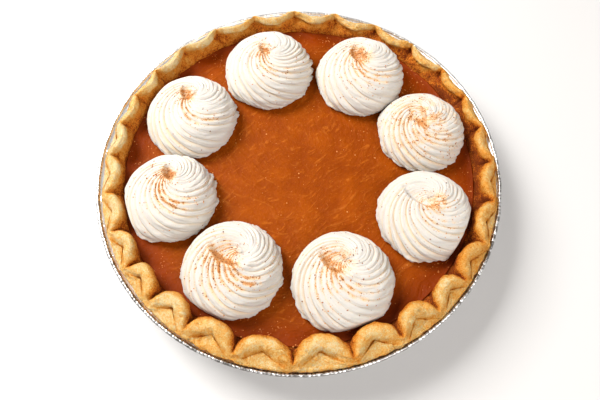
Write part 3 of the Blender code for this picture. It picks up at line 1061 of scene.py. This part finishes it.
# %% Rosette tree
def rosette_tree():
    """One rosette of cream from its sizes."""
    kinds = {"Middle": Vector, "Eye": Vector, "Crater": Vector, "Curl": Vector, "Dust middle": Vector,
             "Base radius": float, "Height": float, "Ribs": int, "Points per rib": int, "Rings": int,
             "Rib depth": float, "Winding": float, "Start": float, "Warp": float, "Warp turn": float,
             "Crater length": float, "Crater width": float, "Crater turn": float, "Crater depth": float,
             "Curl height": float, "Curl width": float, "Dust reach": float, "Dust near": float,
             "Dust along": float, "Dust inside": float, "Dust all over": float, "Seed": int}
    board, given = new_tree("piped_rosette", kinds)
    tube = board.add("GeometryNodeMeshCylinder", {
        "Vertices": given["Ribs"] * given["Points per rib"], "Side Segments": given["Rings"],
        "Radius": 1.0, "Depth": 1.0}, fill_type="TRIANGLE_FAN")
    x, y, z = board.parts(board.add("GeometryNodeInputPosition"))
    side = board.span(x, y)
    climb = z + 0.5
    turn = board.math("ARCTAN2", y, x) / math.tau + 1.0

    def along(points):
        return board.add("ShaderNodeFloatCurve", {"Value": climb}, bend=points)

    def round_noise(size, drift=0.0):
        loop = board.circle(turn * math.tau, climb * 1.5 + given["Seed"] * 1.7 + drift)
        return board.noise(loop, size, 2.0)

    # ribs: rounded ridges with narrow grooves, each with its own depth
    wander = 0.30 * (round_noise(3.0, 0.4) - 0.5)
    phase = turn * given["Ribs"] + wander
    rib = board.math("FLOOR", phase)
    chance = board.add("ShaderNodeTexWhiteNoise", {"W": rib + given["Seed"] * 53.0}, noise_dimensions="1D")
    groove = (1.0 - abs(board.math("SINE", phase * math.pi))) ** 1.25
    strands = 1.0 - abs(board.math("SINE", phase * math.pi * 3.0 + 5.0 * chance))
    relief = along(DOME_RELIEF) * (0.20 + 1.10 * chance) * (0.20 + 1.6 * round_noise(1.7))

    # the smooth last curl and the hollow beside it
    across = along(DOME_ACROSS) * side
    winding = along(DOME_WINDING) * math.tau * given["Winding"] * 2.0
    plain_angle = given["Start"] + turn * math.tau - winding
    angle = plain_angle + given["Warp"] * board.math("SINE", plain_angle - given["Warp turn"])
    spoke = board.circle(angle, 0.0)
    left_flank = board.fade(board.math("COSINE", angle - 3.3), -0.25, 0.75)
    relief = relief * (0.68 + 0.55 * left_flank)
    centre = board.vector("ADD", given["Middle"], board.scaled(given["Eye"], 1.0 - across))
    plain = board.vector("ADD", centre, board.scaled(spoke, given["Base radius"] * across))

    def distance(name):
        px, py, pz = board.parts(board.vector("SUBTRACT", plain, given[name]))
        return board.span(px, py), px, py

    curl = board.bell(distance("Curl")[0], given["Curl width"])
    aside, cx, cy = distance("Crater")
    ahead_x, ahead_y, level_z = board.parts(board.circle(given["Crater turn"], 0.0))
    longwise = (cx * ahead_x + cy * ahead_y) / given["Crater length"]
    sidewise = (cy * ahead_x - cx * ahead_y) / given["Crater width"]
    outer_side = board.fade(sidewise, 0.25, -0.35)
    sidewise = sidewise * (0.72 + 0.38 * outer_side)
    away = board.span(longwise, sidewise)
    high = board.fade(along(DOME_UP), 0.50, 0.80) * side
    steep = 2.2 + 2.0 * outer_side
    crater = board.math("EXPONENT", -(away ** steep)) * high
    lip = board.bell(away - 1.30, 0.26) * high * (0.25 + 0.75 * outer_side)
    smooth = (1.0 - 0.85 * curl) * (1.0 - board.fade(away, 1.35, 0.95) * high)
    cut = given["Rib depth"] * relief * smooth * (groove + 0.16 * strands)

    # form: an uneven dome, ribs cut inwards low down and downwards near the top
    lump = round_noise(2.6, 3.0) - 0.5
    frill = 0.5 * chance + 0.9 * (round_noise(16.0, 5.0) - 0.38)
    foot = board.bell(climb - 0.10, 0.09) * (frill - 0.25) * (1.0 - groove) * 0.0045
    reach = given["Base radius"] * across * (1.0 + 0.09 * lump) - cut * (0.30 + 0.70 * across) + foot * side
    level = given["Height"] * along(DOME_UP) * (1.0 + 0.08 * lump) - cut * (1.0 - across ** 2.0)
    level = level + given["Curl height"] * curl * side + 0.22 * given["Crater depth"] * lip
    level = level - given["Crater depth"] * crater
    flat = board.vector("ADD", centre, board.scaled(spoke, reach))
    fx, fy, fz = board.parts(flat)
    length = board.span(fx, fy)
    front_x, front_y = math.cos(math.radians(FRONT_ANGLE)), math.sin(math.radians(FRONT_ANGLE))
    front = (0.5 + 0.5 * (fx * front_x + fy * front_y) / length) ** 2.0
    excess = board.math("MAXIMUM", length - CREAM_REACH + FRONT_REACH * front, 0.0)
    pressed = (length - (1.0 - SQUEEZE) * excess) / length
    final = board.joined(fx * pressed, fy * pressed, fz + level)

    # marks for the finish: how deep in a groove, for painted shade, and how dusty
    from_dust = distance("Dust middle")[0] / given["Dust reach"]
    spot = board.vector("ADD", plain, board.joined(0.0, 0.0, given["Seed"]))
    patches = board.fade(board.noise(spot, 330.0, 3.0), 0.40, 0.60)
    brink = board.bell(away - 0.95, 0.36) * outer_side * high
    near = board.bell(from_dust, 1.0) * (0.25 + 0.75 * patches) * (0.35 + 0.45 * groove + 1.2 * brink)
    first_rib = (board.math("COSINE", turn * math.tau + given["Start"] - 0.25) - 1.0) / 0.09
    last_curl = board.math("EXPONENT", first_rib) * board.fade(climb, 0.48, 0.66) * (groove ** 0.5)
    lines = groove * (0.08 + 0.75 * left_flank) * board.bell(from_dust, 3.2) + last_curl
    dust = given["Dust near"] * near + given["Dust along"] * lines * (0.25 + 0.75 * patches)
    dust = (dust + given["Dust all over"] * patches) * board.fade(climb, 0.14, 0.40)
    dust = dust + given["Dust inside"] * crater * (0.35 + 0.65 * patches)
    marked = board.marked(board.marked(tube, "groove", groove * relief * smooth), "dust", dust)
    shaped = board.add("GeometryNodeSetPosition", {"Geometry": marked, "Position": final})
    return close_tree(board, shaped, given)


# %% Eight rosettes
def aside(middle, offset):
    """A place beside a rosette's middle, given in millimetres."""
    return middle + Vector((offset[0] / 1000, offset[1] / 1000, 0.0))


def make_rosettes():
    tree = rosette_tree()
    pieces = []
    for number, place in enumerate(ROSETTES, start=1):
        direction, distance, radius, height, start, eye, crater, hollow, dust = place
        middle = Vector(polar(distance, direction, FILL_LEVEL - GAP))
        curl = [2 * e - c for e, c in zip(eye, crater)]
        piece = grow(f"cream_{number}", tree, {
            "Middle": middle, "Eye": aside(Vector(), eye), "Crater": aside(middle, crater),
            "Curl": aside(middle, curl), "Dust middle": aside(middle, dust[:2]),
            "Base radius": radius, "Height": height + GAP, "Ribs": RIBS, "Points per rib": PER_RIB,
            "Rings": CREAM_RINGS, "Rib depth": RIB_DEPTH, "Winding": SWIRL_TURNS,
            "Start": math.radians(start), "Warp": WARP, "Warp turn": WARP_TURN,
            "Crater length": hollow[0] / 1000, "Crater width": hollow[1] / 1000,
            "Crater turn": math.radians(hollow[2]), "Crater depth": hollow[3] / 1000,
            "Curl height": 0.0010, "Curl width": 0.0052, "Dust reach": dust[2] / 1000, "Dust near": dust[3],
            "Dust along": dust[4], "Dust inside": dust[5], "Dust all over": dust[6],
            "Seed": number, "Finish": CREAM})
        serve(piece, "cream", f"rosette_{number}")
        pieces.append(piece)
    return pieces


cream_pieces = make_rosettes()

# %% [markdown]
# ## Cinnamon
# Cinnamon is sprinkled from above and gathers in the hollows. Grains are scattered over a joined
# copy of the cream, thicker where the mark named dust is high. Each grain is a small stone of 20
# faces that lies on the cream, is stretched by chance and keeps its own tone.

# %% Cinnamon piece
def joined_mesh(pieces):
    """One mesh of several pieces, with their marks."""
    points, faces, marks, offset = [], [], [], 0
    for piece in pieces:
        mesh = piece.data
        place = np.zeros(3 * len(mesh.vertices), np.float32)
        mesh.vertices.foreach_get("co", place)
        mark_values = np.zeros(len(mesh.vertices), np.float32)
        mesh.attributes["dust"].data.foreach_get("value", mark_values)
        points.append(place.reshape(-1, 3))
        marks.append(mark_values)
        faces += [[offset + index for index in face.vertices] for face in mesh.polygons]
        offset += len(mesh.vertices)
    joined = bpy.data.meshes.new("joined_cream")
    joined.from_pydata(np.concatenate(points).tolist(), [], faces)
    attribute = joined.attributes.new("dust", "FLOAT", "POINT")
    attribute.data.foreach_set("value", np.concatenate(marks))
    return joined


def sprinkle_tree():
    """Grains scattered over a surface that faces up."""
    board, given = new_tree("sprinkled_grains", {"Density": float, "Grain": float, "Seed": int})
    dust = board.add("GeometryNodeInputNamedAttribute", {"Name": "dust"}, data_type="FLOAT")
    facing = board.parts(board.add("GeometryNodeInputNormal"))[2]
    patch = board.fade(board.noise(board.add("GeometryNodeInputPosition"), 420.0, 3.0), 0.42, 0.62)
    amount = given["Density"] * dust * (0.15 + patch) * board.fade(facing, 0.05, 0.7)
    scattered = board.add("GeometryNodeDistributePointsOnFaces", {
        "Mesh": given["Mesh"], "Density": amount, "Seed": given["Seed"]}, distribute_method="RANDOM")
    turned = Wire(board, scattered.socket.node.outputs["Rotation"])
    stone = board.add("GeometryNodeMeshIcoSphere", {"Radius": 1.0, "Subdivisions": 1})
    index = board.add("GeometryNodeInputIndex")
    sizes = board.add("ShaderNodeTexWhiteNoise", {"W": index + 0.5}, out="Color", noise_dimensions="1D")
    sx, sy, sz = board.parts(sizes)
    size = given["Grain"] * (0.35 + 1.1 * sx * sx)
    shape = board.joined(size, size * (0.5 + 0.5 * sy), size * 0.45)
    grains = board.add("GeometryNodeInstanceOnPoints", {
        "Points": scattered, "Instance": stone, "Rotation": turned, "Scale": shape})
    return close_tree(board, board.marked(grains, "tone", sz, "INSTANCE"), given)


cinnamon = grow("cinnamon", sprinkle_tree(), {
    "Density": 3000000.0, "Grain": 0.00036, "Seed": 3, "Finish": CINNAMON},
    joined_mesh(cream_pieces))
serve(cinnamon, "cream")

# %% [markdown]
# ## Last sizes
# The fine pieces have to fill the same box as the solids, so both boxes are measured, and the
# size of the finished pie is printed.

# %% Sizes and finish
boxes = {"solids": [list(corner) for corner in SOLID_BOX],
         "visual": [list(corner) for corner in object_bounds()]}
print("the finished pie fills", [round(1000 * (b - a), 1) for a, b in zip(*boxes["visual"])], "mm")
